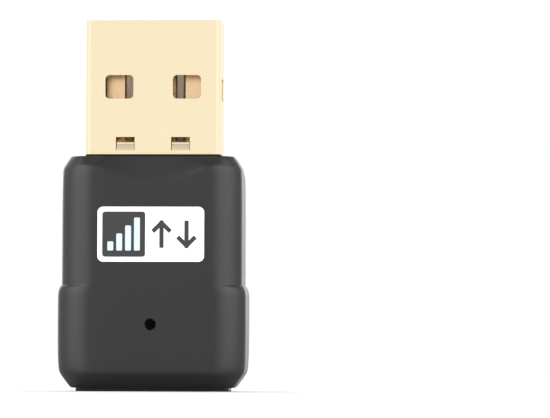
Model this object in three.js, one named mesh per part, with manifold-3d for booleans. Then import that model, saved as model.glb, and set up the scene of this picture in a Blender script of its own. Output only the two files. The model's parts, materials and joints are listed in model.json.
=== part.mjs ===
// A USB stick radio adapter: two moulded half shells that close on a small circuit board, with a
// full-size type A plug at one end. Millimetres, +Z up along the plug, label face towards -Y.
// The origin is the middle of the small raised pad on the tail end.
import * as THREE from "three";
import { mergeVertices } from "three/addons/utils/BufferGeometryUtils.js";
import Module from "manifold-3d";

const wasm = await Module();
wasm.setup();

// ---- Driving dimensions -------------------------------------------------------------------

const PAD = { halfWidth: 6.85, halfDepth: 2.1, height: 0.3, round: 0.5 };

const BODY = {
  bottom: PAD.height,
  top: 20.7,
  halfWidth: 8.0,
  halfDepth: 3.95,
  wall: 1.0,
};
// The tail half is a little wider than the rest, and ends in a rounded shoulder.
const GRIP = { proud: 0.35, top: 9.35, run: 1.0 };
const TOP_CORNER = { inset: 0.72, rise: 1.25 };
const TAIL_CORNER = { inset: 0.8, rise: 1.15 };
// The long edges of each broad face fall away in an arc, from the flat middle to the narrow side.
const EDGE_FALL = { run: 3.1, drop: 1.5 };
const TAIL_BEVEL = { drop: 0.75, rise: 0.96 };
// The label face dips towards the plug in a shallow scoop; the other face only has a bevel.
const SCOOP = { drop: 0.62, rise: 0.88, middleRise: 2.35, radius: 8.3 };
const BACK_BEVEL = { drop: 0.62, rise: 1.25 };

// Half of the hollow's depth is straight, and it closes in by a share of what is left.
const HOLLOW = { straight: 1.5, closing: 0.9, bevelSegments: 3 };
const MOUTH = { halfWidth: 6.05, halfDepth: 2.3, inner: 18.4 };
const LIP = { outerInset: 0.62, innerInset: 1.0, root: 0.3, height: 0.4, clearance: 0.05 };
const PIN = { x: 6.1, lowZ: 3.6, highZ: 13.4, radius: 0.4, reach: 1.5, play: 0.07, root: 1.0 };
const BOSS = { radius: 0.8, socketWall: 0.15, root: 2.6, face: 0.1 };
const LIGHT_HOLE = { z: 5.86, radius: 0.5 };
const LABEL = { halfWidth: 4.7, halfHeight: 2.42, z: 13.78, round: 0.5, thickness: 0.1, sunk: 0.02 };
const LABEL_BED = { play: 0.04, under: 0.02 };

const PLUG = {
  tip: 32.8,
  rim: BODY.top + 0.22,
  halfWidth: 6.0,
  halfDepth: 2.25,
  wall: 0.3,
  round: 0.5,
};
const LATCH_HOLE = { x: 3.0, halfWidth: 1.25, halfHeight: 1.05, fromTip: 5.9, round: 0.4 };
const SIDE_HOLE = { halfWidth: 1.0, halfHeight: 1.0, fromTip: 6.08, round: 0.45 };
const TAB = { x: 2.45, halfWidth: 0.75, bottom: PLUG.rim + 0.35, height: 1.18, lean: 24, play: 0.08 };
const SEAM = { width: 0.05, dovetailZ: 24.0, dovetailHeight: 1.3, neck: 0.55, flare: 0.95 };

const TONGUE = { bottom: 17.4, top: PLUG.tip - 0.25, front: 0, back: 1.84, halfWidth: 5.6 };
const CONTACT = { width: 1.6, thickness: 0.23, sunk: 0.02, groove: 0.12, tailWidth: 0.9, tailEnd: 15.0 };
const CONTACTS = [
  { name: "contact_power", x: -3.5, fromTip: 1.3 },
  { name: "contact_data_minus", x: -1.0, fromTip: 2.3 },
  { name: "contact_data_plus", x: 1.0, fromTip: 2.3 },
  { name: "contact_ground", x: 3.5, fromTip: 1.3 },
];
const BASE = { bottom: TONGUE.bottom, ear: 0.7, earDepth: 1.2, earTop: 19.55, earHeight: 1.0 };
const LEG = { x: 5.45, thickness: 0.3, front: -1.7, back: -0.4, foot: 14.6, footTop: 16.6, through: 1.75 };

const BOARD = { halfWidth: 6.5, bottom: 1.7, top: 17.3, front: 0.28, thickness: 1.0, corner: 0.7 };
const RIB = { x: 5.5, halfWidth: 0.3, low: 6.4, high: 11.2, intoWall: 0.3 };
// The ribs under the ears of the plug's base.
const EAR_RIB = { outer: 7.1, near: 0.5, height: 0.7 };
const SOLDER = { fillet: 0.55, collar: 0.25, tall: 0.3 };
const ANTENNA = { low: 2.0, high: 4.3, width: 0.45, thickness: 0.06, short: -4.7, feed: -3.3 };
const MEANDER = { fromFeed: 2, pitch: 1.1, turns: 3, top: 3.3 };

const FIT = 0.03; // the gap left where two pieces meet
const BASE_FIT = 0.05; // the gap left round what passes through the plug's base
const BEYOND = 20; // further out than any face of the part, for the ends of cutting blocks

// ---- Finishes -----------------------------------------------------------------------------

const finish = (color, roughness, metalness) =>
  new THREE.MeshStandardMaterial({ color, roughness, metalness });

const blackAbs = finish(0x2b2a2b, 0.45, 0);
const blackNylon = finish(0x151413, 0.6, 0);
const gold = finish(0xf3d79a, 0.25, 1);
const whitePlastic = finish(0xd4d6d8, 0.5, 0);
const labelFilm = finish(0xfbfbfa, 0.4, 0);
const solderMask = finish(0x14402a, 0.4, 0);
const chipPlastic = finish(0x1c1c1e, 0.55, 0);
const tinPlate = finish(0xc9c9c6, 0.35, 1);
const ceramicTan = finish(0xb59a72, 0.5, 0);
const ferrite = finish(0x3a3a3c, 0.6, 0);
const ledLens = finish(0xe9efe6, 0.2, 0);
const copper = finish(0xc98552, 0.35, 1);

// ---- Solids -------------------------------------------------------------------------------

/** A three.js geometry as a closed solid. */
function solid(geometry) {
  const bare = geometry.clone();
  bare.deleteAttribute("normal");
  bare.deleteAttribute("uv");
  const merged = mergeVertices(bare, 1e-4);
  return new wasm.Manifold(
    new wasm.Mesh({
      numProp: 3,
      vertProperties: new Float32Array(merged.attributes.position.array),
      triVerts: new Uint32Array(merged.index.array),
    }),
  );
}

/** The named three.js mesh of a solid. */
function piece(name, made, material) {
  const mesh = made.getMesh();
  const geometry = new THREE.BufferGeometry();
  geometry.setAttribute("position", new THREE.BufferAttribute(new Float32Array(mesh.vertProperties), 3));
  geometry.setIndex(new THREE.BufferAttribute(new Uint32Array(mesh.triVerts), 1));
  geometry.computeVertexNormals();
  const shown = new THREE.Mesh(geometry, material);
  shown.name = name;
  return shown;
}

/** A block between two corners. */
function block([x0, y0, z0], [x1, y1, z1]) {
  const made = new THREE.BoxGeometry(x1 - x0, y1 - y0, z1 - z0);
  made.translate((x0 + x1) / 2, (y0 + y1) / 2, (z0 + z1) / 2);
  return solid(made);
}

/** A rectangle with round corners, as a shape centred on the origin. */
function roundedRectangle(halfWidth, halfHeight, round) {
  const shape = new THREE.Shape();
  const [w, h, r] = [halfWidth, halfHeight, round];
  shape.moveTo(-w + r, -h);
  shape.lineTo(w - r, -h);
  shape.absarc(w - r, -h + r, r, -Math.PI / 2, 0, false);
  shape.lineTo(w, h - r);
  shape.absarc(w - r, h - r, r, 0, Math.PI / 2, false);
  shape.lineTo(-w + r, h);
  shape.absarc(-w + r, h - r, r, Math.PI / 2, Math.PI, false);
  shape.lineTo(-w, -h + r);
  shape.absarc(-w + r, -h + r, r, Math.PI, 1.5 * Math.PI, false);
  return shape;
}

/** A shape drawn in X and Y, raised from one height to another. */
function raised(shape, low, high, curveSegments = 4) {
  const made = new THREE.ExtrudeGeometry(shape, { depth: high - low, bevelEnabled: false, curveSegments });
  made.translate(0, 0, low);
  return solid(made);
}

/** A shape drawn in X and Z, carried through Y from front to back. */
function through(shape, front, back, curveSegments = 4) {
  const made = new THREE.ExtrudeGeometry(shape, { depth: back - front, bevelEnabled: false, curveSegments });
  made.rotateX(Math.PI / 2);
  made.translate(0, back, 0);
  return solid(made);
}

/** An outline drawn in Y and Z, carried across X from left to right. */
function across(points, left, right) {
  const shape = new THREE.Shape(points.map(([y, z]) => new THREE.Vector2(y, z)));
  const made = new THREE.ExtrudeGeometry(shape, { depth: right - left, bevelEnabled: false });
  made.rotateX(Math.PI / 2);
  made.rotateZ(Math.PI / 2);
  made.translate(left, 0, 0);
  return solid(made);
}

/** A round bar along Y. */
function barAlongY(x, z, radius, front, back, sides = 16) {
  const made = new THREE.CylinderGeometry(radius, radius, back - front, sides);
  made.translate(x, (front + back) / 2, z);
  return solid(made);
}

/** A shape moved in its own plane. */
function movedShape(shape, dx, dy) {
  return new THREE.Shape(shape.getPoints(4).map((p) => new THREE.Vector2(p.x + dx, p.y + dy)));
}

// ---- The casing's outer form ----------------------------------------------------------------

const clamp = THREE.MathUtils.clamp;

/** How far the grip stands proud of the body at a height: a quarter ellipse over its shoulder. */
function gripProud(z) {
  const rise = clamp((z - (GRIP.top - GRIP.run)) / GRIP.run, 0, 1);
  return GRIP.proud * Math.sqrt(1 - rise * rise);
}

/** Half the body's width at a height, with its cut corners. */
function halfWidthAt(z) {
  const high = clamp((z - BODY.top + TOP_CORNER.rise) / TOP_CORNER.rise, 0, 1);
  const low = clamp((BODY.bottom + TAIL_CORNER.rise - z) / TAIL_CORNER.rise, 0, 1);
  return BODY.halfWidth + gripProud(z) - TOP_CORNER.inset * high - TAIL_CORNER.inset * low;
}

/** How far down the plug end's bevel reaches on the label face: an arc in the middle. */
function scoopRise(x) {
  const sag = SCOOP.radius - Math.sqrt(SCOOP.radius ** 2 - Math.min(Math.abs(x), 5) ** 2);
  return Math.max(SCOOP.rise, SCOOP.middleRise - sag);
}

/** Half the body's depth at a point of the label face, or of the back. */
function halfDepthAt(x, z, isFront) {
  const inFromEdge = halfWidthAt(z) - Math.abs(x);
  const { run, drop } = EDGE_FALL;
  const arcRadius = (run * run + drop * drop) / (2 * drop);
  const beyond = clamp(run - inFromEdge, 0, run);
  const edge = arcRadius - Math.sqrt(arcRadius ** 2 - beyond ** 2);
  const tail = TAIL_BEVEL.drop * clamp(1 - (z - BODY.bottom) / TAIL_BEVEL.rise, 0, 1);
  const top = isFront
    ? SCOOP.drop * clamp(1 - (BODY.top - z) / scoopRise(x), 0, 1)
    : BACK_BEVEL.drop * clamp(1 - (BODY.top - z) / BACK_BEVEL.rise, 0, 1);
  return BODY.halfDepth - Math.max(edge, tail, top);
}

/** The heights at which the body's form is drawn, with more of them where it bends. */
function formHeights() {
  const tail = [0, 0.5, 1].map((t) => BODY.bottom + t * TAIL_BEVEL.rise);
  const corner = BODY.bottom + TAIL_CORNER.rise;
  const shoulder = [0, 30, 50, 65, 78, 90].map((angle) => {
    const turn = THREE.MathUtils.degToRad(angle);
    return GRIP.top - GRIP.run + GRIP.run * Math.sin(turn);
  });
  const scoop = [2.35, 2.1, 1.8, 1.5, 1.25, 0.88, 0.44, 0].map((down) => BODY.top - down);
  return [...tail, corner, 4.8, ...shoulder, 14, ...scoop];
}

/** The columns of one side: measured in from the edge, then from the middle. */
const EDGE_COLUMNS = [0, 0.3, 0.8, 1.4, 2.0, 2.6, EDGE_FALL.run];
const MIDDLE_COLUMNS = [3.6, 2.4, 1.2];

/** Where column i of the form lies at a height; column 0 is the middle and they run to one side. */
function columnX(index, z) {
  const count = EDGE_COLUMNS.length + MIDDLE_COLUMNS.length;
  const side = Math.sign(index);
  const place = Math.abs(index);
  if (place === 0) return 0;
  if (place <= MIDDLE_COLUMNS.length) return side * MIDDLE_COLUMNS[MIDDLE_COLUMNS.length - place];
  return side * (halfWidthAt(z) - EDGE_COLUMNS[count - place]);
}

/** Half of the casing as one block, from the parting plane to its broad face. */
function halfForm(isFront) {
  const heights = formHeights();
  const columns = EDGE_COLUMNS.length + MIDDLE_COLUMNS.length;
  const rows = heights.length - 1;
  const made = new THREE.BoxGeometry(2 * columns, 2, rows, 2 * columns, 1, rows);
  const place = made.getAttribute("position");
  for (let i = 0; i < place.count; i++) {
    const z = heights[Math.round(place.getZ(i) + rows / 2)];
    const x = columnX(Math.round(place.getX(i)), z);
    const outer = isFront ? place.getY(i) < 0 : place.getY(i) > 0;
    const depth = outer ? halfDepthAt(x, z, isFront) : 0;
    place.setXYZ(i, x, isFront ? -depth : depth, z);
  }
  return solid(made);
}

/** The body's outline in X and Z, drawn in by an inset. */
function outline(inset) {
  const low = BODY.bottom + inset;
  const high = BODY.top - inset;
  const side = [
    [BODY.halfWidth + GRIP.proud - inset - TAIL_CORNER.inset, low],
    [BODY.halfWidth + GRIP.proud - inset, low + TAIL_CORNER.rise],
  ];
  for (const angle of [0, 45, 70, 90]) {
    const z = GRIP.top - GRIP.run + GRIP.run * Math.sin(THREE.MathUtils.degToRad(angle));
    side.push([BODY.halfWidth + gripProud(z) - inset, z]);
  }
  side.push([BODY.halfWidth - inset, high - TOP_CORNER.rise]);
  side.push([BODY.halfWidth - inset - TOP_CORNER.inset, high]);
  const mirrored = side.map(([x, z]) => [-x, z]).reverse();
  return new THREE.Shape([...side, ...mirrored].map(([x, z]) => new THREE.Vector2(x, z)));
}

// ---- The half shells --------------------------------------------------------------------------

/** A hollow for one half: straight near the parting plane, then closing in like the outside. */
function cavity(isFront) {
  const { straight, bevelSegments } = HOLLOW;
  const depth = BODY.halfDepth - BODY.wall - straight;
  const closing = depth * HOLLOW.closing;
  const made = new THREE.ExtrudeGeometry(outline(BODY.wall + closing), {
    depth: 2 * straight,
    bevelEnabled: true,
    bevelThickness: depth,
    bevelSize: closing,
    bevelSegments,
  });
  made.rotateX(Math.PI / 2);
  made.translate(0, straight, 0);
  return solid(made).intersect(halfBlock(isFront, [-BEYOND, BEYOND], [-0.5, BEYOND], [-BEYOND, 2 * BEYOND]));
}

/** A block on one side of the parting plane, between two distances from it. */
function halfBlock(isFront, [x0, x1], [near, far], [z0, z1]) {
  return isFront ? block([x0, -far, z0], [x1, -near, z1]) : block([x0, near, z0], [x1, far, z1]);
}

/** The plug's way out through the end wall, with the pockets for its base's ears. */
function mouth(isFront) {
  const half = PLUG.halfWidth + BASE.ear + 2 * FIT;
  const pocketTop = BASE.earTop + 2 * FIT;
  const { halfWidth, halfDepth, inner } = MOUTH;
  const way = halfBlock(isFront, [-halfWidth, halfWidth], [-1, halfDepth], [inner, BODY.top + 1]);
  const pocket = [pocketTop - BASE.earHeight - 4 * FIT, pocketTop];
  return way.add(halfBlock(isFront, [-half, half], [-1, BASE.earDepth + 2 * FIT], pocket));
}

/** The raised pad on the tail end, one half of it. */
function tailPad(isFront) {
  const shape = roundedRectangle(PAD.halfWidth, PAD.halfDepth, PAD.round);
  const half = halfBlock(isFront, [-BEYOND, BEYOND], [0, BEYOND], [-BEYOND, BEYOND]);
  return raised(shape, 0, PAD.height + 0.2).intersect(half);
}

const PIN_PLACES = [-1, 1].flatMap((side) => [PIN.lowZ, PIN.highZ].map((z) => ({ x: side * PIN.x, z })));

/** The ribs that hold the board, and the ones under the ears of the plug's base. */
function ribs(isFront) {
  const inner = BODY.halfDepth - BODY.wall + RIB.intoWall;
  const boardFace = isFront ? FIT - BOARD.front : BOARD.front + BOARD.thickness + FIT;
  const under = BASE.earTop - BASE.earHeight;
  const made = [];
  for (const side of [-1, 1]) {
    const ribX = [side * RIB.x - RIB.halfWidth, side * RIB.x + RIB.halfWidth];
    made.push(halfBlock(isFront, ribX, [boardFace, inner], [RIB.low, RIB.high]));
    const earX = [side * (PLUG.halfWidth + 2 * FIT), side * EAR_RIB.outer].sort((a, b) => a - b);
    const earZ = [under - EAR_RIB.height, under - 2 * FIT];
    made.push(halfBlock(isFront, earX, [EAR_RIB.near, inner], earZ));
  }
  return made;
}

/** The label side's half shell: it carries the pins, the lip, the light hole and the label's bed. */
function frontShell() {
  let made = halfForm(true).add(tailPad(true)).subtract(cavity(true));
  for (const rib of ribs(true)) made = made.add(rib);
  const lip = through(outline(LIP.outerInset), -LIP.root, LIP.height)
    .subtract(through(outline(LIP.innerInset), -1, LIP.height + 1));
  made = made.add(lip);
  for (const { x, z } of PIN_PLACES) {
    made = made.add(barAlongY(x, z, BOSS.radius, -BOSS.root, -BOSS.face));
    made = made.add(barAlongY(x, z, PIN.radius, -PIN.root, PIN.reach));
  }
  made = made.subtract(mouth(true));
  made = made.subtract(barAlongY(0, LIGHT_HOLE.z, LIGHT_HOLE.radius, -5, -2, 24));
  const { play, under } = LABEL_BED;
  const bed = roundedRectangle(LABEL.halfWidth + play, LABEL.halfHeight + play, LABEL.round + play);
  const floor = -BODY.halfDepth + LABEL.sunk + LABEL.thickness + under;
  return made.subtract(through(movedShape(bed, 0, LABEL.z), -BEYOND, floor));
}

/** The plain half shell: it carries the sockets for the pins and the step for the lip. */
function backShell() {
  let made = halfForm(false).add(tailPad(false)).subtract(cavity(false));
  for (const rib of ribs(false)) made = made.add(rib);
  const socketRadius = BOSS.radius + BOSS.socketWall;
  for (const { x, z } of PIN_PLACES) {
    made = made.add(barAlongY(x, z, socketRadius, BOSS.face, BOSS.root + BOSS.face));
  }
  const gap = LIP.clearance;
  const step = through(outline(LIP.outerInset - gap), -1, LIP.height + gap)
    .subtract(through(outline(LIP.innerInset + 2), -2, LIP.height + 1));
  made = made.subtract(step);
  for (const { x, z } of PIN_PLACES) {
    made = made.subtract(barAlongY(x, z, PIN.radius + PIN.play, -1, PIN.reach + 0.2));
  }
  return made.subtract(mouth(false));
}

/** The printed label's film, in its bed. */
function label() {
  const shape = movedShape(roundedRectangle(LABEL.halfWidth, LABEL.halfHeight, LABEL.round), 0, LABEL.z);
  const face = -BODY.halfDepth + LABEL.sunk;
  return through(shape, face, face + LABEL.thickness);
}

// ---- The plug -----------------------------------------------------------------------------------

/** The seam up the back of the folded shell, with one side of its dovetail. */
function shellSeam() {
  const [half, middle] = [SEAM.width / 2, PLUG.halfDepth];
  const [low, high] = [SEAM.dovetailZ, SEAM.dovetailZ + SEAM.dovetailHeight];
  const path = [
    [0, PLUG.rim - 1], [0, low], [SEAM.neck, low], [SEAM.flare, high], [0, high], [0, PLUG.tip + 1],
  ];
  const bars = path.slice(1).map(([bx, bz], i) => {
    const [ax, az] = path[i];
    const bar = new THREE.BoxGeometry(SEAM.width, 1, Math.hypot(bx - ax, bz - az) + SEAM.width);
    bar.rotateY(Math.atan2(bx - ax, bz - az));
    bar.translate((ax + bx) / 2, middle, (az + bz) / 2);
    return solid(bar);
  });
  return bars.reduce((whole, bar) => whole.add(bar));
}

/** A spring tab of the shell, pressed in from its window to hold the tongue. */
function springTab(x) {
  const length = TAB.height * 0.86;
  const made = new THREE.BoxGeometry(2 * TAB.halfWidth, PLUG.wall, length);
  made.translate(0, PLUG.wall / 2, length / 2);
  made.rotateX(-THREE.MathUtils.degToRad(TAB.lean));
  made.translate(x, -PLUG.halfDepth + 0.02, TAB.bottom - 0.06);
  return solid(made);
}

/** A solder leg of the shell: it steps in from the narrow side, then goes down to the board. */
function shellLeg(side) {
  const inner = LEG.x - LEG.thickness / 2;
  const top = PLUG.rim + 0.5;
  const reach = (from, to) => [side * from, side * to].sort((a, b) => a - b);
  const [s0, s1] = reach(inner, PLUG.halfWidth - 0.1);
  const [x0, x1] = reach(inner, inner + LEG.thickness);
  return block([s0, LEG.front, PLUG.rim + FIT], [s1, LEG.back, top])
    .add(block([x0, LEG.front, LEG.foot], [x1, LEG.back, top]))
    .add(block([x0, LEG.back - 0.2, LEG.foot], [x1, LEG.through, LEG.footTop]));
}

/** The plug's shell, folded from one strip of plated steel. */
function plugShell() {
  const outside = roundedRectangle(PLUG.halfWidth, PLUG.halfDepth, PLUG.round);
  const inside = roundedRectangle(
    PLUG.halfWidth - PLUG.wall, PLUG.halfDepth - PLUG.wall, PLUG.round - PLUG.wall);
  let made = raised(outside, PLUG.rim, PLUG.tip).subtract(raised(inside, PLUG.rim - 1, PLUG.tip + 1));
  const latch = roundedRectangle(LATCH_HOLE.halfWidth, LATCH_HOLE.halfHeight, LATCH_HOLE.round);
  for (const side of [-1, 1]) {
    const latchPlace = movedShape(latch, side * LATCH_HOLE.x, PLUG.tip - LATCH_HOLE.fromTip);
    const [x, reach] = [side * TAB.x, TAB.halfWidth + TAB.play];
    const window = block([x - reach, -BEYOND, TAB.bottom], [x + reach, -1, TAB.bottom + TAB.height]);
    made = made.subtract(through(latchPlace, -BEYOND, BEYOND)).subtract(window);
    made = made.add(springTab(side * TAB.x)).add(shellLeg(side));
  }
  const sideShape = roundedRectangle(SIDE_HOLE.halfHeight, SIDE_HOLE.halfWidth, SIDE_HOLE.round);
  const sideHole = raised(sideShape, -BEYOND, BEYOND);
  made = made.subtract(sideHole.rotate([0, 90, 0]).translate([0, 0, PLUG.tip - SIDE_HOLE.fromTip]));
  return made.subtract(shellSeam());
}

/** The plastic tongue that carries the contacts, with a groove for each of them. */
function plugTongue() {
  const { bottom, top, front, back, halfWidth } = TONGUE;
  let made = block([-halfWidth, front, bottom], [halfWidth, back, top]);
  const floor = CONTACT.sunk + CONTACT.thickness + FIT;
  for (const { x, fromTip } of CONTACTS) {
    const half = CONTACT.width / 2 + CONTACT.groove;
    const end = PLUG.tip - fromTip + CONTACT.groove;
    made = made.subtract(block([x - half, -1, bottom - 1], [x + half, floor, end]));
  }
  return made;
}

/** One contact: a flat strip in its groove, with a narrower tail that lies on the board. */
function contact({ x, fromTip }) {
  const [front, back] = [CONTACT.sunk, CONTACT.sunk + CONTACT.thickness];
  const [wide, narrow] = [CONTACT.width / 2, CONTACT.tailWidth / 2];
  return block([x - wide, front, TONGUE.bottom - 0.2], [x + wide, back, PLUG.tip - fromTip])
    .add(block([x - narrow, front, CONTACT.tailEnd], [x + narrow, back, TONGUE.bottom]));
}

/** The moulded base round the tongue's root: the shell sits on it, and its ears stay in the casing. */
function plugBase() {
  const flange = roundedRectangle(PLUG.halfWidth, PLUG.halfDepth, PLUG.round);
  const ears = PLUG.halfWidth + BASE.ear;
  let made = raised(flange, BASE.bottom, PLUG.rim - FIT).add(
    block([-ears, -BASE.earDepth, BASE.earTop - BASE.earHeight], [ears, BASE.earDepth, BASE.earTop]));
  const gap = BASE_FIT;
  const half = TONGUE.halfWidth + gap;
  const top = PLUG.tip;
  made = made.subtract(block([-half, TONGUE.front - gap, 0], [half, TONGUE.back + gap, top]));
  for (const side of [-1, 1]) {
    const [x, reach] = [side * LEG.x, LEG.thickness / 2 + gap];
    made = made.subtract(block([x - reach, LEG.front - gap, 0], [x + reach, LEG.back + gap, top]));
  }
  return made;
}

// ---- The circuit board ----------------------------------------------------------------------------

/** The bare board, notched round the casing's pins and slotted for the shell's legs. */
function circuitBoard() {
  const { halfWidth, bottom, top, front, thickness, corner } = BOARD;
  const plan = new THREE.Shape([
    [-halfWidth + corner, bottom], [halfWidth - corner, bottom], [halfWidth, bottom + corner],
    [halfWidth, top], [-halfWidth, top], [-halfWidth, bottom + corner],
  ].map(([x, z]) => new THREE.Vector2(x, z)));
  let made = through(plan, front, front + thickness);
  const clear = BOSS.radius + 0.3;
  for (const { x, z } of PIN_PLACES) {
    const [x0, x1] = [x, x + Math.sign(x)].sort((a, b) => a - b);
    const notch = block([x0, -1, z - clear], [x1, 3, z + clear]);
    made = made.subtract(barAlongY(x, z, clear, -1, 3)).subtract(notch);
  }
  for (const side of [-1, 1]) {
    const [x, reach] = [side * LEG.x, LEG.thickness / 2 + 0.1];
    made = made.subtract(block([x - reach, -1, LEG.foot - 0.1], [x + reach, 3, LEG.footTop + 0.1]));
  }
  return made;
}

/** A block on the board's face: its place and size across and up, and its heights off the board. */
function onBoard({ x, z, width, height, tall, off = 0 }) {
  const face = BOARD.front - FIT;
  return block([x - width / 2, face - tall, z - height / 2], [x + width / 2, face - off, z + height / 2]);
}

/** A part with its leads along two edges: a raised body, and square leads that reach the board. */
function leadedPackage({ leads, ...place }) {
  const lead = { width: 0.4, reach: 0.35, tall: 0.25 };
  let made = onBoard({ ...place, off: 0.1 });
  leads.forEach((count, row) => {
    const z = place.z + (row ? -1 : 1) * (place.height / 2);
    for (let i = 0; i < count; i++) {
      const x = place.x + ((i - (count - 1) / 2) * 1.9) / Math.max(count - 1, 1);
      made = made.add(onBoard({ x, z, width: lead.width, height: 2 * lead.reach, tall: lead.tall }));
    }
  });
  return made;
}

/** A part with a metal lid: a base with a smaller lid on it. */
function liddedPackage(place) {
  const lid = { ...place, width: place.width - 0.5, height: place.height - 0.5 };
  return onBoard({ ...place, tall: place.tall * 0.55 }).add(onBoard(lid));
}

/** A wound power inductor: a square plate, a round core and a square top. */
function woundInductor(place) {
  const face = BOARD.front - FIT;
  const plate = place.tall * 0.25;
  const core = barAlongY(place.x, place.z, place.width * 0.4, face - place.tall + 0.1, face - 0.1, 20);
  return onBoard({ ...place, tall: plate }).add(core).add(onBoard({ ...place, off: place.tall - plate }));
}

/** A small part with an end cap at each end: its long side is across, or up where it is upright. */
function cappedPart([x, z], length, girth, isUpright) {
  const size = (along, around) =>
    isUpright ? { width: around, height: along } : { width: along, height: around };
  const cap = length * 0.22;
  let made = onBoard({ x, z, ...size(length - cap, girth - 0.06), tall: girth - 0.03, off: 0.03 });
  for (const end of [-1, 1]) {
    const shift = (end * (length - cap)) / 2;
    const place = isUpright ? { x, z: z + shift } : { x: x + shift, z };
    made = made.add(onBoard({ ...place, ...size(cap, girth), tall: girth }));
  }
  return made;
}

/** The light: a square base with a clear dome on it. */
function statusLight(place) {
  const dome = new THREE.SphereGeometry(0.34, 16, 8);
  dome.translate(place.x, BOARD.front - FIT - place.tall, place.z);
  return onBoard(place).add(solid(dome));
}

/** The printed aerial: a ground leg, a feed leg, and an arm that ends in a meander. */
function printedAerial() {
  const { low, high, width, thickness, short, feed } = ANTENNA;
  const { pitch, turns, top } = MEANDER;
  const face = BOARD.front - 0.01;
  const bar = (x0, x1, z0, z1) => block([x0, face - thickness, z0], [x1, face, z1]);
  const start = feed + MEANDER.fromFeed;
  let made = bar(short, short + width, low, high)
    .add(bar(feed, feed + width, low, high))
    .add(bar(short, start + width, low, low + width));
  for (let i = 0; i < turns; i++) {
    const x = start + i * 2 * pitch;
    made = made
      .add(bar(x, x + width, low, top))
      .add(bar(x, x + pitch + width, top - width, top))
      .add(bar(x + pitch, x + pitch + width, low, top));
    if (i + 1 < turns) made = made.add(bar(x + pitch, x + 2 * pitch + width, low, low + width));
  }
  return made;
}

/** The solder round one shell leg, on the front of the board. */
function legSolder(side) {
  const x = side * LEG.x;
  const reach = LEG.thickness / 2 + FIT;
  const [low, high] = [LEG.foot - FIT, LEG.footTop + FIT];
  const { collar, tall } = SOLDER;
  const [near, far] = [BOARD.front - 0.02, BOARD.front - 0.02 - tall];
  return block([x - reach - collar, far, low - collar], [x + reach + collar, near, high + collar])
    .subtract(block([x - reach, -3, low], [x + reach, 3, high]));
}

/** The wedge of solder at the end of one contact's tail. */
function tailSolder(x) {
  const [near, far] = [BOARD.front - 0.02, CONTACT.sunk + 0.03];
  const end = CONTACT.tailEnd - FIT;
  const half = CONTACT.tailWidth / 2;
  return across([[near, end - SOLDER.fillet], [near, end], [far, end]], x - half, x + half);
}

const CHIP = { name: "radio_chip", x: -2.3, z: 9.9, width: 5.0, height: 5.0, tall: 0.85 };
const CRYSTAL = { name: "crystal", x: 3.4, z: 10.5, width: 2.5, height: 2.0, tall: 0.6 };
const INDUCTOR = { name: "power_inductor", x: 3.4, z: 7.9, width: 2.5, height: 2.5, tall: 1.2 };
const REGULATOR = {
  name: "voltage_regulator", x: 3.4, z: 12.95, width: 2.9, height: 1.6, tall: 1.1, leads: [2, 3],
};
const PROTECTOR = {
  name: "surge_protector", x: 0, z: 13.55, width: 2.4, height: 0.9, tall: 0.8, leads: [2, 2],
};
const FILTER = { name: "band_filter", x: -3.1, z: 4.9, width: 1.0, height: 0.7, tall: 0.4 };
const BEAD = { name: "ferrite_bead", x: -3.5, z: 13.5, width: 0.9, height: 1.6, tall: 0.8 };
const LIGHT = { name: "status_light", x: 0, z: LIGHT_HOLE.z, width: 1.6, height: 0.8, tall: 0.45 };

const CAPACITOR = { length: 1.0, girth: 0.5 };
const CAPACITOR_PLACES = [
  [1.1, 11.9], [1.1, 11.0], [1.1, 10.1], [1.1, 9.2], [-4.7, 13.6], [-1.2, 6.7], [4.6, 5.9], [2.0, 5.9],
];
const RESISTOR = { length: 1.0, girth: 0.45 };
const RESISTOR_PLACES = [[-2.5, 6.3], [-3.4, 6.3], [-4.3, 6.3], [1.4, 7.6], [1.4, 5.2], [3.3, 5.9]];

// ---- The assembly -----------------------------------------------------------------------------------

const adapter = new THREE.Group();
const add = (name, made, material) => adapter.add(piece(name, made, material));

add("front_shell", frontShell(), blackAbs);
add("back_shell", backShell(), blackAbs);
add("label", label(), labelFilm);

add("plug_shell", plugShell(), gold);
add("plug_base", plugBase(), blackNylon);
add("plug_tongue", plugTongue(), whitePlastic);
for (const one of CONTACTS) add(one.name, contact(one), gold);

add("circuit_board", circuitBoard(), solderMask);
add("printed_aerial", printedAerial(), copper);
add(CHIP.name, onBoard(CHIP), chipPlastic);
add(CRYSTAL.name, liddedPackage(CRYSTAL), tinPlate);
add(INDUCTOR.name, woundInductor(INDUCTOR), ferrite);
add(REGULATOR.name, leadedPackage(REGULATOR), chipPlastic);
add(PROTECTOR.name, leadedPackage(PROTECTOR), chipPlastic);
add(FILTER.name, onBoard(FILTER), ceramicTan);
add(BEAD.name, onBoard(BEAD), ferrite);
add(LIGHT.name, statusLight(LIGHT), ledLens);

CAPACITOR_PLACES.forEach((place, i) => {
  add(`capacitor_${i + 1}`, cappedPart(place, CAPACITOR.length, CAPACITOR.girth, false), ceramicTan);
});
RESISTOR_PLACES.forEach((place, i) => {
  add(`resistor_${i + 1}`, cappedPart(place, RESISTOR.length, RESISTOR.girth, i < 3), chipPlastic);
});
for (const one of CONTACTS) add(one.name.replace("contact", "solder"), tailSolder(one.x), tinPlate);
add("solder_leg_left", legSolder(-1), tinPlate);
add("solder_leg_right", legSolder(1), tinPlate);

export default adapter;
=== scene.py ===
"""A USB stick radio adapter: a black two-part casing, a gold-plated plug and a small circuit board inside.

The pieces are shaped on a bench in millimetres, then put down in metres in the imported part's own frame:
the plug points up along +Z, and the label faces -Y.
"""

from __future__ import annotations

import json
import logging
import math
from dataclasses import dataclass, field
from enum import Enum
from typing import Callable, Iterable, Sequence

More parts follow.
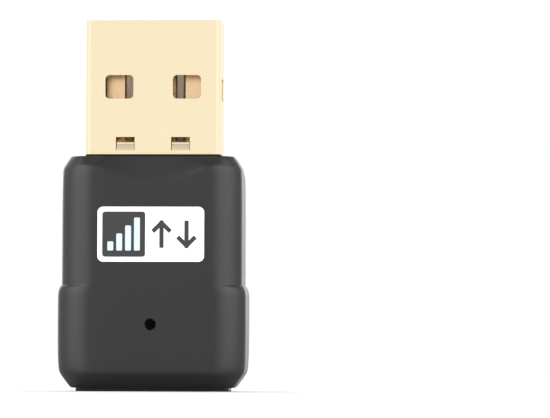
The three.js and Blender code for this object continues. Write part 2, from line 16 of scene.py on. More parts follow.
import bpy
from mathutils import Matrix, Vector

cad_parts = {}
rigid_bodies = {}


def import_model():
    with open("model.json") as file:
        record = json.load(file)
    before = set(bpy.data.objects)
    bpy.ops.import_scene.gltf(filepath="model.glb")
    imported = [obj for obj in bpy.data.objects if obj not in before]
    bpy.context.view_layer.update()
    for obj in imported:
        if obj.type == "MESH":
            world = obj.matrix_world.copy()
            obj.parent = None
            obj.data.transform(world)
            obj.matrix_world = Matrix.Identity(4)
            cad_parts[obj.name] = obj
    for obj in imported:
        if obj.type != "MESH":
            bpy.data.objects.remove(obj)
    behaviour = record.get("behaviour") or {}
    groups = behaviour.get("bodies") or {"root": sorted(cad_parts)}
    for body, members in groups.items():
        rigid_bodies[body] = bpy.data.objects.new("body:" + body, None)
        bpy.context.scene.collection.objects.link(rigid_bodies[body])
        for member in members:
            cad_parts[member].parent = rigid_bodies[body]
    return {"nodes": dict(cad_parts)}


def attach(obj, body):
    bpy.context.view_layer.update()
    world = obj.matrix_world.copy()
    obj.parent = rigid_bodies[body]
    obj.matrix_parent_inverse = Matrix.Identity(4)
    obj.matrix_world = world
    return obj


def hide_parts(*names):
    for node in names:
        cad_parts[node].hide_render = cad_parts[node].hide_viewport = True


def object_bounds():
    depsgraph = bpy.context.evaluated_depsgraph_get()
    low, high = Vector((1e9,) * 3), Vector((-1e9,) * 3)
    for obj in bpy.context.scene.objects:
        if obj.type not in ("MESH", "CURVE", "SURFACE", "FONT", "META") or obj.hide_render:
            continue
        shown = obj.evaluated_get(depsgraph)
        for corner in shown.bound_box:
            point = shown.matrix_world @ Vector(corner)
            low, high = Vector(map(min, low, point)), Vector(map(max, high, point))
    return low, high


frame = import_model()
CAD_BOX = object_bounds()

MM = 0.001
BODY = "root"
TOUCH = 0.01  # millimetres within which two places count as one
HAIR = 0.001  # millimetres, for picking what lies just past a line
GLOSS_DRIFT = 0.03  # how far a finish's roughness strays either way
DETAIL = 2.0  # how many finer layers each noise has
log = logging.getLogger("adapter")


# ---- The bench: operators on one piece ------------------------------------------------------------


def clear_bench() -> None:
    """Leave edit mode and deselect every object."""
    if bpy.context.object and bpy.context.object.mode != "OBJECT":
        bpy.ops.object.mode_set(mode="OBJECT")
    bpy.ops.object.select_all(action="DESELECT")


class Bench:
    """One piece on the bench, shaped in millimetres by edit-mode operators and modifiers."""

    def __init__(self, name: str, size: Sequence[float] = (1, 1, 1)) -> None:
        """Take the primitive that is active, name it, and stretch it to size.

        Args:
            name: The piece's name.
            size: How much to stretch it each way.
        """
        self.piece = bpy.context.object
        self.piece.name = name
        self.piece.scale = size
        bpy.ops.object.transform_apply(location=True, rotation=True, scale=True)

    @classmethod
    def block(cls, name: str, low: Sequence[float], high: Sequence[float]) -> Bench:
        """Start from a cube stretched between two corners.

        Args:
            name: The piece's name.
            low: Its lowest corner.
            high: Its highest corner.

        Returns:
            The new piece.
        """
        clear_bench()
        low, high = Vector(low), Vector(high)
        bpy.ops.mesh.primitive_cube_add(size=1, location=(low + high) / 2)
        return cls(name, high - low)

    @classmethod
    def bar(cls, name: str, start: Sequence[float], end: Sequence[float], radius: float, sides: int = 32) -> Bench:
        """Start from a cylinder between two points.

        Args:
            name: The piece's name.
            start: The middle of one end.
            end: The middle of the other.
            radius: Its radius.
            sides: How many sides it has.

        Returns:
            The new piece.
        """
        clear_bench()
        start, end = Vector(start), Vector(end)
        turn = (end - start).to_track_quat("Z", "Y").to_euler()
        bpy.ops.mesh.primitive_cylinder_add(
            vertices=sides, radius=radius, depth=(end - start).length, location=(start + end) / 2, rotation=turn
        )
        return cls(name)

    @classmethod
    def sheet(cls, name: str, across: Sequence[float], up: Sequence[float], depth: float) -> Bench:
        """Start from a plane that faces -Y.

        Args:
            name: The piece's name.
            across: Its lowest and highest X.
            up: Its lowest and highest Z.
            depth: Its Y.

        Returns:
            The new piece.
        """
        clear_bench()
        middle = ((across[0] + across[1]) / 2, depth, (up[0] + up[1]) / 2)
        size = (across[1] - across[0], up[1] - up[0], 1)
        bpy.ops.mesh.primitive_plane_add(size=1, location=middle, rotation=(math.pi / 2, 0, 0))
        return cls(name, size)

    # Selecting, always by place or direction.

    def mesh(self) -> bpy.types.Mesh:
        """Leave edit mode, so that the mesh is up to date, and return it."""
        bpy.ops.object.mode_set(mode="OBJECT")
        return self.piece.data

    def reach(self, axis: int) -> float:
        """Say how far the piece reaches along an axis, less a hair."""
        return max(point.co[axis] for point in self.mesh().vertices) - HAIR

    def _clear(self) -> bpy.types.Mesh:
        """Deselect every element of the mesh.

        Returns:
            The mesh, in object mode.
        """
        mesh = self.mesh()
        for items in (mesh.vertices, mesh.edges, mesh.polygons):
            items.foreach_set("select", [False] * len(items))
        return mesh

    def all(self) -> Bench:
        """Select the whole mesh."""
        return self.points(lambda place: True)

    def points(self, wanted: Callable[[Vector], bool]) -> Bench:
        """Select the points at the wanted places.

        Args:
            wanted: Says of a point's place whether to take it.

        Returns:
            This piece, in edit mode.
        """
        for point in self._clear().vertices:
            point.select = wanted(point.co)
        return self._edit("VERT")

    def edges(self, wanted: Callable[[Vector, Vector], bool]) -> Bench:
        """Select the wanted edges.

        Args:
            wanted: Says of an edge's two ends whether to take it.

        Returns:
            This piece, in edit mode.
        """
        mesh = self._clear()
        for edge in mesh.edges:
            a, b = (mesh.vertices[i].co for i in edge.vertices)
            edge.select = wanted(a, b)
        return self._edit("EDGE")

    def faces(self, wanted: Callable[[Vector, Vector], bool]) -> Bench:
        """Select the wanted faces.

        Args:
            wanted: Says of a face's middle and direction whether to take it.

        Returns:
            This piece, in edit mode.
        """
        for face in self._clear().polygons:
            face.select = wanted(face.center, face.normal)
        return self._edit("FACE")

    def _edit(self, kind: str) -> Bench:
        """Go into edit mode with one kind of element selectable.

        Args:
            kind: VERT, EDGE or FACE.

        Returns:
            This piece, in edit mode.
        """
        bpy.context.view_layer.objects.active = self.piece
        bpy.context.tool_settings.mesh_select_mode = (kind == "VERT", kind == "EDGE", kind == "FACE")
        bpy.ops.object.mode_set(mode="EDIT")
        return self

    # Shaping what is selected.

    def move(self, x: float = 0, y: float = 0, z: float = 0) -> Bench:
        """Move what is selected."""
        bpy.ops.transform.translate(value=(x, y, z))
        return self

    def stretch(self, size: Sequence[float], pivot: Sequence[float] = (0, 0, 0)) -> Bench:
        """Scale what is selected about a point."""
        bpy.ops.transform.resize(value=size, center_override=pivot)
        return self

    def turn(self, angle: float, axis: str, pivot: Sequence[float]) -> Bench:
        """Turn what is selected about a point, by the right-hand rule."""
        bpy.ops.transform.rotate(value=-angle, orient_axis=axis, center_override=pivot)
        return self

    def extrude(self, x: float = 0, y: float = 0, z: float = 0) -> Bench:
        """Extrude what is selected."""
        bpy.ops.mesh.extrude_region_move(TRANSFORM_OT_translate={"value": (x, y, z)})
        return self

    def bevel(self, width: float, segments: int = 4) -> Bench:
        """Bevel the selected edges."""
        bpy.ops.mesh.bevel(offset=width, segments=segments, affect="EDGES")
        return self

    def spin(self, angle: float, steps: int, centre: Sequence[float]) -> Bench:
        """Spin what is selected about an upright axis, by the right-hand rule."""
        bpy.ops.mesh.spin(angle=-angle, steps=steps, center=centre, axis=(0, 0, 1))
        return self

    def slice(self, point: Sequence[float], normal: Sequence[float]) -> Bench:
        """Cut the whole mesh along a plane, which leaves a line of edges.

        Args:
            point: A point of the plane.
            normal: The plane's direction.

        Returns:
            This piece, in edit mode.
        """
        self.all()
        bpy.ops.mesh.bisect(plane_co=point, plane_no=normal)
        return self

    def crease(self, amount: float) -> Bench:
        """Crease the selected edges, so that a subdivision keeps them tighter."""
        bpy.ops.transform.edge_crease(value=amount)
        return self

    def delete_faces(self) -> Bench:
        """Delete the selected faces."""
        bpy.ops.mesh.delete(type="FACE")
        return self

    def weld(self, distance: float) -> Bench:
        """Merge doubled points over the whole mesh, then turn every face outwards.

        Args:
            distance: How close two points are to count as doubled.

        Returns:
            This piece, in edit mode.
        """
        self.all()
        bpy.ops.mesh.remove_doubles(threshold=distance)
        bpy.ops.mesh.select_all(action="SELECT")
        bpy.ops.mesh.normals_make_consistent(inside=False)
        return self

    def turn_over(self) -> Bench:
        """Mirror the whole mesh to the other side in Y, with its faces still outwards.

        Returns:
            This piece, in edit mode.
        """
        self.all().stretch((1, -1, 1))
        bpy.ops.mesh.flip_normals()
        return self

    def modify(self, kind: str, **settings: object) -> Bench:
        """Add a modifier and apply it.

        Args:
            kind: The modifier's type.
            **settings: Its settings.

        Returns:
            This piece, in object mode.
        """
        clear_bench()
        self.piece.select_set(True)
        bpy.context.view_layer.objects.active = self.piece
        added = self.piece.modifiers.new(kind.title(), kind)
        for key, value in settings.items():
            setattr(added, key, value)
        bpy.ops.object.modifier_apply(modifier=added.name)
        return self

    def round_edges(self, width: float, segments: int = 3, angle: float = 40) -> Bench:
        """Round every edge that is sharper than an angle in degrees."""
        limit = {"limit_method": "ANGLE", "angle_limit": math.radians(angle)}
        return self.modify("BEVEL", width=width, segments=segments, **limit)

    def _boolean(self, other: Bench, operation: str) -> Bench:
        """Cut or join with another piece, and throw that one away.

        Args:
            other: The other piece.
            operation: DIFFERENCE or UNION.

        Returns:
            This piece, in object mode.
        """
        self.modify("BOOLEAN", object=other.piece, operation=operation, solver="MANIFOLD")
        bpy.data.objects.remove(other.piece)
        return self

    def cut(self, other: Bench) -> Bench:
        """Take another piece's shape out of this one."""
        return self._boolean(other, "DIFFERENCE")

    def join(self, other: Bench) -> Bench:
        """Make this piece and another one solid."""
        return self._boolean(other, "UNION")

    def finish(self, slot: str, finish: Finish, replaces: Iterable[str] = (), smooth: float = 35) -> bpy.types.Object:
        """Put the piece down in metres, dressed and riding on the part.

        Args:
            slot: The record's material slot; not used.
            finish: The piece's finish.
            replaces: The CAD nodes that it stands for.
            smooth: The angle up to which its faces are shaded as one.

        Returns:
            The finished object.
        """
        self.all().stretch((MM, MM, MM))
        clear_bench()
        self.piece.select_set(True)
        bpy.ops.object.shade_smooth_by_angle(angle=math.radians(smooth))
        self.modify("WEIGHTED_NORMAL", keep_sharp=True, weight=100)
        self.piece.data.materials.clear()
        self.piece.data.materials.append(finish.material())
        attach(self.piece, BODY)
        for node in replaces:
            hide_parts(node)
        log.info("%s: %d faces, %s", self.piece.name, len(self.piece.data.polygons), finish.name)
        return self.piece


# ---- Finishes -------------------------------------------------------------------------------------


def linear(code: str) -> tuple[float, float, float, float]:
    """Turn an sRGB hex colour into linear light.

    Args:
        code: Six hex digits.

    Returns:
        Red, green, blue and a full alpha.
    """
    parts = [int(code[i : i + 2], 16) / 255 for i in (0, 2, 4)]
    light = [c / 12.92 if c <= 0.04045 else ((c + 0.055) / 1.055) ** 2.4 for c in parts]
    return (*light, 1.0)


def add_node(tree: bpy.types.NodeTree, kind: str, inputs: dict | None = None, **settings: object) -> bpy.types.Node:
    """Add a node with its settings, values and links.

    Args:
        tree: The node tree.
        kind: The node's type.
        inputs: A value or a linked socket for each named or numbered input.
        **settings: The node's own properties.

    Returns:
        The new node.
    """
    node = tree.nodes.new(kind)
    for key, value in settings.items():
        setattr(node, key, value)
    for key, value in (inputs or {}).items():
        if isinstance(value, bpy.types.NodeSocket):
            tree.links.new(value, node.inputs[key])
        else:
            node.inputs[key].default_value = value
    return node


@dataclass(frozen=True)
class Finish:
    """What every finish has: a name, a colour, and how rough and metallic it is."""

    name: str
    colour: str
    roughness: float

    def material(self) -> bpy.types.Material:
        """Look the finish's material up, and make it the first time.

        Returns:
            The material.
        """
        made = bpy.data.materials.get(self.name)
        if made is None:
            made = bpy.data.materials.new(self.name)
            made.use_nodes = True
            made.node_tree.nodes.clear()
            place = add_node(made.node_tree, "ShaderNodeTexCoord").outputs["Object"]
            shader = self.shade(made.node_tree, place)
            add_node(made.node_tree, "ShaderNodeOutputMaterial", {"Surface": shader.outputs[0]})
        return made

    def shade(self, tree: bpy.types.NodeTree, place: bpy.types.NodeSocket) -> bpy.types.Node:
        """Build the finish's nodes and return its shader."""
        raise NotImplementedError


@dataclass(frozen=True)
class MouldedPlastic(Finish):
    """Injection-moulded plastic: a spark-eroded mould leaves a fine even grain in a plain colour."""

    grain: float = 0.09  # millimetres from one grain to the next, drawn a little coarser than the real grit
    depth: float = 0.004
    variation: float = 0.06
    drift: float = 6.0  # millimetres from one patch of slightly darker colour to the next

    def shade(self, tree: bpy.types.NodeTree, place: bpy.types.NodeSocket) -> bpy.types.Node:
        """Build a grain, a slow drift in the colour, and a gloss that drifts with it.

        Args:
            tree: The material's node tree.
            place: The place on the piece.

        Returns:
            The shader.
        """
        close = {"Vector": place, "Scale": 1 / (self.grain * MM), "Detail": DETAIL}
        grain = add_node(tree, "ShaderNodeTexNoise", close).outputs["Fac"]
        wide = {"Vector": place, "Scale": 1 / (self.drift * MM), "Detail": DETAIL}
        drift = add_node(tree, "ShaderNodeTexNoise", wide).outputs["Fac"]
        base = linear(self.colour)
        darker = tuple(c * (1 - self.variation) for c in base[:3]) + (1.0,)
        colour = add_node(tree, "ShaderNodeValToRGB", {"Fac": drift})
        for stop, value in zip(colour.color_ramp.elements, (darker, base)):
            stop.color = value
        ends = {"To Min": self.roughness - GLOSS_DRIFT, "To Max": self.roughness + GLOSS_DRIFT}
        gloss = add_node(tree, "ShaderNodeMapRange", {"Value": drift, **ends}).outputs["Result"]
        bump = add_node(tree, "ShaderNodeBump", {"Height": grain, "Strength": 0.5, "Distance": self.depth * MM})
        return add_node(
            tree,
            "ShaderNodeBsdfPrincipled",
            {
                "Base Color": colour.outputs["Color"],
                "Roughness": gloss,
                "Normal": bump.outputs["Normal"],
                "IOR": 1.47,
            },
        )


@dataclass(frozen=True)
class PlatedSteel(Finish):
    """Gold flashed over nickel on rolled steel: pale, with the strip's fine rolling lines and a soft mottle."""

    line: float = 0.14  # millimetres between rolling lines, drawn coarser than real ones so that they show
    mottle: float = 0.5  # millimetres across the plating's soft patches
    depth: float = 0.002

    def shade(self, tree: bpy.types.NodeTree, place: bpy.types.NodeSocket) -> bpy.types.Node:
        """Build lines along the plug, a mottle over them, and a gloss that follows the mottle.

        Args:
            tree: The material's node tree.
            place: The place on the piece.

        Returns:
            The shader.
        """
        along = add_node(tree, "ShaderNodeMapping", {"Vector": place, "Scale": (1.0, 1.0, 0.05)})
        fine = {"Vector": along.outputs["Vector"], "Scale": 1 / (self.line * MM), "Detail": DETAIL}
        lines = add_node(tree, "ShaderNodeTexNoise", fine).outputs["Fac"]
        soft = {"Vector": place, "Scale": 1 / (self.mottle * MM), "Detail": DETAIL}
        mottle = add_node(tree, "ShaderNodeTexNoise", soft).outputs["Fac"]
        both = add_node(tree, "ShaderNodeMath", {0: lines, 1: mottle}, operation="ADD").outputs["Value"]
        ends = {"To Min": self.roughness - GLOSS_DRIFT, "To Max": self.roughness + GLOSS_DRIFT}
        given = {"Value": mottle, "From Min": 0.3, "From Max": 0.7, **ends}
        gloss = add_node(tree, "ShaderNodeMapRange", given).outputs["Result"]
        bump = add_node(tree, "ShaderNodeBump", {"Height": both, "Strength": 0.2, "Distance": self.depth * MM})
        return add_node(
            tree,
            "ShaderNodeBsdfPrincipled",
            {
                "Base Color": linear(self.colour),
                "Metallic": 1.0,
                "Roughness": gloss,
                "Normal": bump.outputs["Normal"],
            },
        )


# Moulded ABS: a soft sheen over a near-black that is slightly warm.
CASING = MouldedPlastic("black_moulded_abs", "151213", 0.4)
# Moulded nylon, with painted shade: dull and darker than the casing, so that the collar reads as the shadow in the
# gap at the plug's root.
COLLAR_PAINTED_SHADE = MouldedPlastic("black_nylon_painted_shade", "0d0c0b", 0.7)
# Glass-filled polyester: a pale, uneven plastic with little shine, tinted cream by a painted reflection of the gold
# shell around it inside the plug.
TONGUE_PAINTED_REFLECTION = MouldedPlastic("pale_polyester_painted_reflection", "d8c8b6", 0.45)
# Printed polypropylene film: a clean, even white.
FILM = MouldedPlastic("white_printed_film", "f7f8f8", 0.38, grain=0.25, depth=0.001, variation=0.01)
# Screen-printed ink: a thin, even, slightly raised coat, here a near-black grey.
DARK_INK = MouldedPlastic("dark_grey_ink", "2b292a", 0.45, grain=0.2, depth=0.001)
# The same ink in a pale, cool grey, printed over the dark one.
PALE_INK = MouldedPlastic("pale_grey_ink", "c6d1df", 0.45, grain=0.2, depth=0.001)
# Thin gold over nickel, on steel: a pale, creamy gold that mirrors softly.
GOLD = PlatedSteel("gold_plated_steel", "fdecc8", 0.24)
# Thicker gold on phosphor bronze, with painted shade: redder and a little duller, as the contacts look in the shade
# inside the plug.
CONTACT_GOLD_PAINTED_SHADE = PlatedSteel("gold_plated_bronze_painted_shade", "f2d0a4", 0.28)
# Solder mask: a glossy green lacquer, dark over the bare board.
MASK = MouldedPlastic("green_solder_mask", "1c5a3a", 0.3, grain=0.3)
# The same lacquer over copper: the metal under it makes the green paler.
COPPER = MouldedPlastic("copper_under_mask", "2c7a50", 0.3, grain=0.3)
# Moulded epoxy: the matt near-black of chips.
EPOXY = MouldedPlastic("black_moulded_epoxy", "1c1c1e", 0.55)
# Reflowed tin: a bright, slightly uneven silver.
TIN = PlatedSteel("bright_tin", "d6d6d2", 0.3)
# Pressed ferrite: a matt dark grey.
FERRITE = MouldedPlastic("grey_ferrite", "3a3a3c", 0.6)
# Fired ceramic: a matt tan.
CERAMIC = MouldedPlastic("tan_ceramic", "b59a72", 0.5)
# Cast clear epoxy over a dark die: smooth and glossy.
LENS = MouldedPlastic("smoked_clear_epoxy", "5d6058", 0.15, depth=0.0)


# ---- The casing -----------------------------------------------------------------------------------


class Facing(Enum):
    """Which way a half shell faces."""

    FRONT = -1
    BACK = 1


@dataclass
class HalfShell:
    """Half of the casing, from the parting plane to its broad face, in millimetres."""

    facing: Facing
    low: float = 0.3
    high: float = 20.7
    half_width: float = 8.0
    half_depth: float = 3.95
    flat: float = 4.896  # half of the broad face's flat middle
    fall_radius: float = 3.96
    fall_angle: float = 51.6
    fall_steps: int = 8
    side_flat: float = 0.4  # the first band of the narrow side, after the rounded edge
    proud: float = 0.35  # how far the tail half stands out at each side
    shoulder: float = 9.35  # the height where the tail half ends
    gap: float = 0.02  # half of the gap at the seam
    wall: float = 0.9
    columns: tuple[float, ...] = (1.3, 2.6, 3.8)
    scoop_drop: float = 0.62
    side_rise: float = 0.9
    middle_rise: float = 2.35
    scoop_radius: float = 8.3
    # Each row is a height and how far the sides stand in (-) or out (+) there.
    tail_rows: tuple[tuple[float, float], ...] = ((0.3, -0.85), (0.55, -0.62), (1.25, -0.1), (1.55, 0.1), (2.0, 0.3))
    side_rows: tuple[tuple[float, float], ...] = (
        (4.5, 0.35), (7.4, 0.35), (8.35, 0.35), (8.7, 0.33), (9.0, 0.265), (9.24, 0.15),
        (9.35, 0.0), (9.6, 0.0), (12.5, 0.0), (15.5, 0.0),
    )
    # Each row near the plug is a share of the way down the scoop, and the sides' place there.
    top_rows: tuple[tuple[float, float], ...] = (
        (1.45, -0.02), (1.1, -0.12), (0.85, -0.25), (0.25, -0.6), (0.0, -0.8),
    )
    tail_depths: tuple[tuple[float, float], ...] = ((0.3, 2.95), (0.55, 3.27), (1.25, 3.75))
    # How tightly a subdivision keeps the plug end, the tail end and the shoulder.
    creases: tuple[float, float, float] = (0.55, 0.25, 0.8)
    # The lip stands in from the outside by an inset, and has a thickness and a reach; so has its groove.
    lip: tuple[float, float, float] = (0.36, 0.26, 0.3)
    lip_root: float = 0.3
    groove: tuple[float, float, float] = (0.31, 0.36, 0.36)
    cut: float = 0.8  # how far in the lip's corners are cut
    cut_rise: float = 1.3  # and how far up or down
    pad: tuple[float, float, float] = (6.8, 2.1, 0.6)  # half width, half depth, height
    pad_corner: float = 0.5
    board: float = -0.25  # how far behind the parting plane, towards this half, its ribs meet the board
    rib_x: tuple[float, float] = (5.2, 5.8)
    rib_z: tuple[float, float] = (6.4, 11.2)
    rib_root: float = 0.6  # how far under the broad face the ribs start
    pin_x: float = 6.1
    pin_z: tuple[float, float] = (3.6, 13.4)
    boss: tuple[float, float, float] = (0.8, 2.7, 0.1)  # radius, and how deep it starts and ends
    pin: tuple[float, float, float] = (0.4, 1.0, 1.5)  # radius, root, reach past the parting plane
    socket: tuple[float, float] = (0.47, 1.7)  # radius, depth
    mouth: tuple[float, float, float] = (6.06, 2.31, 18.4)  # half width, half depth, inner end
    mouth_corner: float = 0.5

    def rise(self, x: float) -> float:
        """Say how far below the end face the scoop reaches.

        Args:
            x: The distance from the middle.

        Returns:
            The distance down.
        """
        if self.facing is Facing.BACK:
            return self.side_rise
        sag = self.scoop_radius - math.sqrt(self.scoop_radius**2 - x**2)
        return max(self.side_rise, self.middle_rise - sag)

    def skin(self) -> Bench:
        """Shape the outside: a flat, spun round into the side, cut into rows, and pulled to its form.

        Returns:
            The open outer skin.
        """
        depth, edge = self.half_depth, self.flat - HAIR
        skin = Bench.sheet(f"{self.facing.name.lower()}_casing", (0, self.flat), (self.low, self.high), -depth)
        centre = (self.flat, self.fall_radius - depth, 0)
        skin.edges(lambda a, b: min(a.x, b.x) > edge).spin(math.radians(self.fall_angle), self.fall_steps, centre)
        side = skin.reach(0)
        skin.edges(lambda a, b: min(a.x, b.x) > side).extrude(y=self.side_flat)
        side_y = skin.reach(1)
        skin.edges(lambda a, b: min(a.y, b.y) > side_y).extrude(y=-self.gap - side_y - HAIR)
        for x in self.columns:
            skin.slice((x, 0, 0), (1, 0, 0))
        tops = [(self.high - share * self.side_rise, inset) for share, inset in self.top_rows]
        rows = [*self.tail_rows, *self.side_rows, *tops]
        for z, _ in rows:
            if self.low < z < self.high:
                skin.slice((0, 0, z), (0, 0, 1))
        for z, out in rows:
            if out:
                skin.points(lambda p: abs(p.z - z) < TOUCH and p.x > edge).move(x=out)
        for z, row_depth in self.tail_depths:
            self._flatten(skin, z, row_depth)
        self._scoop(skin, [z for z, _ in tops])
        return skin

    @staticmethod
    def _flatten(skin: Bench, z: float, depth: float) -> None:
        """Bring the points of one row that lie deeper than a depth up to it."""
        skin.points(lambda p: abs(p.z - z) < TOUCH and p.y < -depth).stretch((1, 0, 1), (0, -depth, 0))

    def _scoop(self, skin: Bench, heights: Sequence[float]) -> None:
        """Flatten the rows near the plug to the slope of the scoop, then draw the middle of each further down.

        Args:
            skin: The skin.
            heights: The rows' heights, as they are before they are drawn down.
        """
        shares = [share for share, _ in self.top_rows]
        for share, z in zip(shares, heights):
            self._flatten(skin, z, self.half_depth - self.scoop_drop * (1 - min(share, 1)))
        for x in (0.0, *self.columns, self.flat):
            extra = self.rise(x) - self.side_rise
            for share, z in zip(shares, heights):
                if extra > 0 and share > 0:
                    skin.points(lambda p: abs(p.z - z) < TOUCH and abs(p.x - x) < TOUCH).move(z=-share * extra)

    def close_ends(self, skin: Bench) -> None:
        """Extrude both end edges in towards the parting plane, then mirror the whole to the other side.

        Args:
            skin: The open skin of the right side.
        """
        side = self.fall_radius * math.cos(math.radians(self.fall_angle)) - (self.fall_radius - self.half_depth)
        share = (side - self.side_flat - self.gap) / (side - self.gap)
        for z, tight in zip((self.high, self.low), self.creases):
            skin.edges(lambda a, b: max(abs(a.z - z), abs(b.z - z)) < TOUCH).crease(tight)
            skin.edges(lambda a, b: max(abs(a.z - z), abs(b.z - z)) < TOUCH and max(a.y, b.y) < -side + 0.1)
            skin.extrude().stretch((1, share, 1), (0, -self.gap, 0))
            skin.extrude().stretch((1, 0, 1), (0, -self.gap, 0))
        skin.weld(2 * HAIR)
        skin.modify("MIRROR", use_clip=True, merge_threshold=2 * HAIR)

    def _plan(self, name: str, inset: float, near: float, far: float) -> Bench:
        """Shape a block with the casing's own outline.

        Args:
            name: The block's name.
            inset: How far inside the casing's outline it stays.
            near: Its lowest Y.
            far: Its highest Y.

        Returns:
            The block.
        """
        tail, shoulder = self.half_width + self.proud - inset, self.half_width - inset
        foot, head = self.low + inset, self.high - inset
        rows = (
            (foot, tail - self.cut), (foot + self.cut_rise, tail), (self.shoulder - 1, tail),
            (self.shoulder, shoulder), (head - self.cut_rise, shoulder), (head, shoulder - self.cut),
        )
        plan = Bench.block(name, (-1, near, foot), (1, far, head))
        for z, _ in rows[1:-1]:
            plan.slice((0, 0, z), (0, 0, 1))
        for z, half in rows:
            plan.points(lambda p: abs(p.z - z) < TOUCH).stretch((half, 1, 1))
        return plan

    def key_rim(self, shell: Bench) -> None:
        """Raise a lip along the front half's rim, or sink a groove for it along the back half's.

        Args:
            shell: The hollow shell.
        """
        front = self.facing is Facing.FRONT
        inset, thickness, reach = self.lip if front else self.groove
        near, far = (-self.lip_root, reach) if front else (-reach, 1)
        ring = self._plan("ring", inset, near, far).cut(self._plan("hole", inset + thickness, near - 1, far + 1))
        if front:
            shell.join(ring)
        else:
            shell.cut(ring)

    def add_inside(self, shell: Bench) -> None:
        """Add the board's ribs, and the pins or their sockets, inside the hollow.

        Args:
            shell: The hollow shell.
        """
        root = self.rib_root - self.half_depth
        radius, deep, shallow = self.boss
        pin_radius, pin_root, pin_reach = self.pin
        socket_radius, socket_depth = self.socket
        for side in (-1, 1):
            x0, x1 = sorted(side * x for x in self.rib_x)
            rib = Bench.block("rib", (x0, root, self.rib_z[0]), (x1, -self.board, self.rib_z[1]))
            shell.join(rib.round_edges(0.1))
            for z in self.pin_z:
                at = side * self.pin_x
                shell.join(Bench.bar("boss", (at, -deep, z), (at, -shallow, z), radius))
                if self.facing is Facing.FRONT:
                    shell.join(Bench.bar("pin", (at, -pin_root, z), (at, pin_reach, z), pin_radius).round_edges(0.1))
                else:
                    shell.cut(Bench.bar("socket", (at, -socket_depth, z), (at, 1, z), socket_radius))

    def build(self) -> Bench:
        """Shape the half shell.

        Returns:
            The closed, hollow piece.
        """
        shell = self.skin()
        self.close_ends(shell)
        shell.edges(lambda a, b: max(abs(a.z - self.shoulder), abs(b.z - self.shoulder)) < TOUCH)
        shell.crease(self.creases[2])
        shell.modify("SUBSURF", levels=2, render_levels=2)
        shell.modify("SOLIDIFY", thickness=self.wall, offset=-1, use_even_offset=False)
        self.key_rim(shell)
        half_width, half_depth, height = self.pad
        pad = Bench.block("pad", (-half_width, -half_depth, 0), (half_width, -self.gap, height))
        pad.edges(lambda a, b: abs(a.z - b.z) > 0.1 and a.y < -1).bevel(self.pad_corner, 6)
        shell.join(pad.round_edges(0.06))
        self.add_inside(shell)
        half_width, half_depth, inner = self.mouth
        mouth = Bench.block("mouth", (-half_width, -half_depth, inner), (half_width, 1, self.high + 1.3))
        mouth.edges(lambda a, b: abs(a.z - b.z) > 0.1).bevel(self.mouth_corner, 6)
        return shell.cut(mouth)


@dataclass
class Casing:
    """The two half shells, with the label's bed and the light hole in the front one."""

    face: float = -3.95
    label_z: float = 13.78
    bed: tuple[float, float, float] = (4.73, 2.45, 0.13)  # half width, half height, depth
    bed_corner: float = 0.52
    hole_z: float = 5.86
    hole_radius: float = 0.5
    hole_sides: int = 48
    rim_width: float = 0.06  # how far the hole's rounded rim reaches, across and down
    rim_round: float = 0.055

    def front(self) -> Bench:
        """Shape the front half shell.

        Returns:
            The finished shell, with its bed and its hole.
        """
        shell = HalfShell(Facing.FRONT).build()
        half_width, half_height, depth = self.bed
        face, z, before = self.face, self.hole_z, self.face - 1
        bottom, top = self.label_z - half_height, self.label_z + half_height
        bed = Bench.block("bed", (-half_width, before, bottom), (half_width, face + depth, top))
        bed.edges(lambda a, b: abs(a.y - b.y) > 0.1).bevel(self.bed_corner, 8)
        shell.cut(bed)
        shell.cut(Bench.bar("hole", (0, before, z), (0, -2, z), self.hole_radius, self.hole_sides))
        end = (0, face + self.rim_width, z)
        rim = Bench.bar("rim", (0, before, z), end, self.hole_radius + self.rim_width, self.hole_sides)
        rim.edges(lambda a, b: min(a.y, b.y) > face).bevel(self.rim_round, 4)
        return shell.cut(rim)

    def dress(self) -> None:
        """Build both half shells and finish them."""
        self.front().finish("casing", CASING, ["front_shell"])
        back = HalfShell(Facing.BACK, board=1.31, side_rise=1.25).build()
        back.turn_over().finish("casing", CASING, ["back_shell"])


# ---- The plug -------------------------------------------------------------------------------------


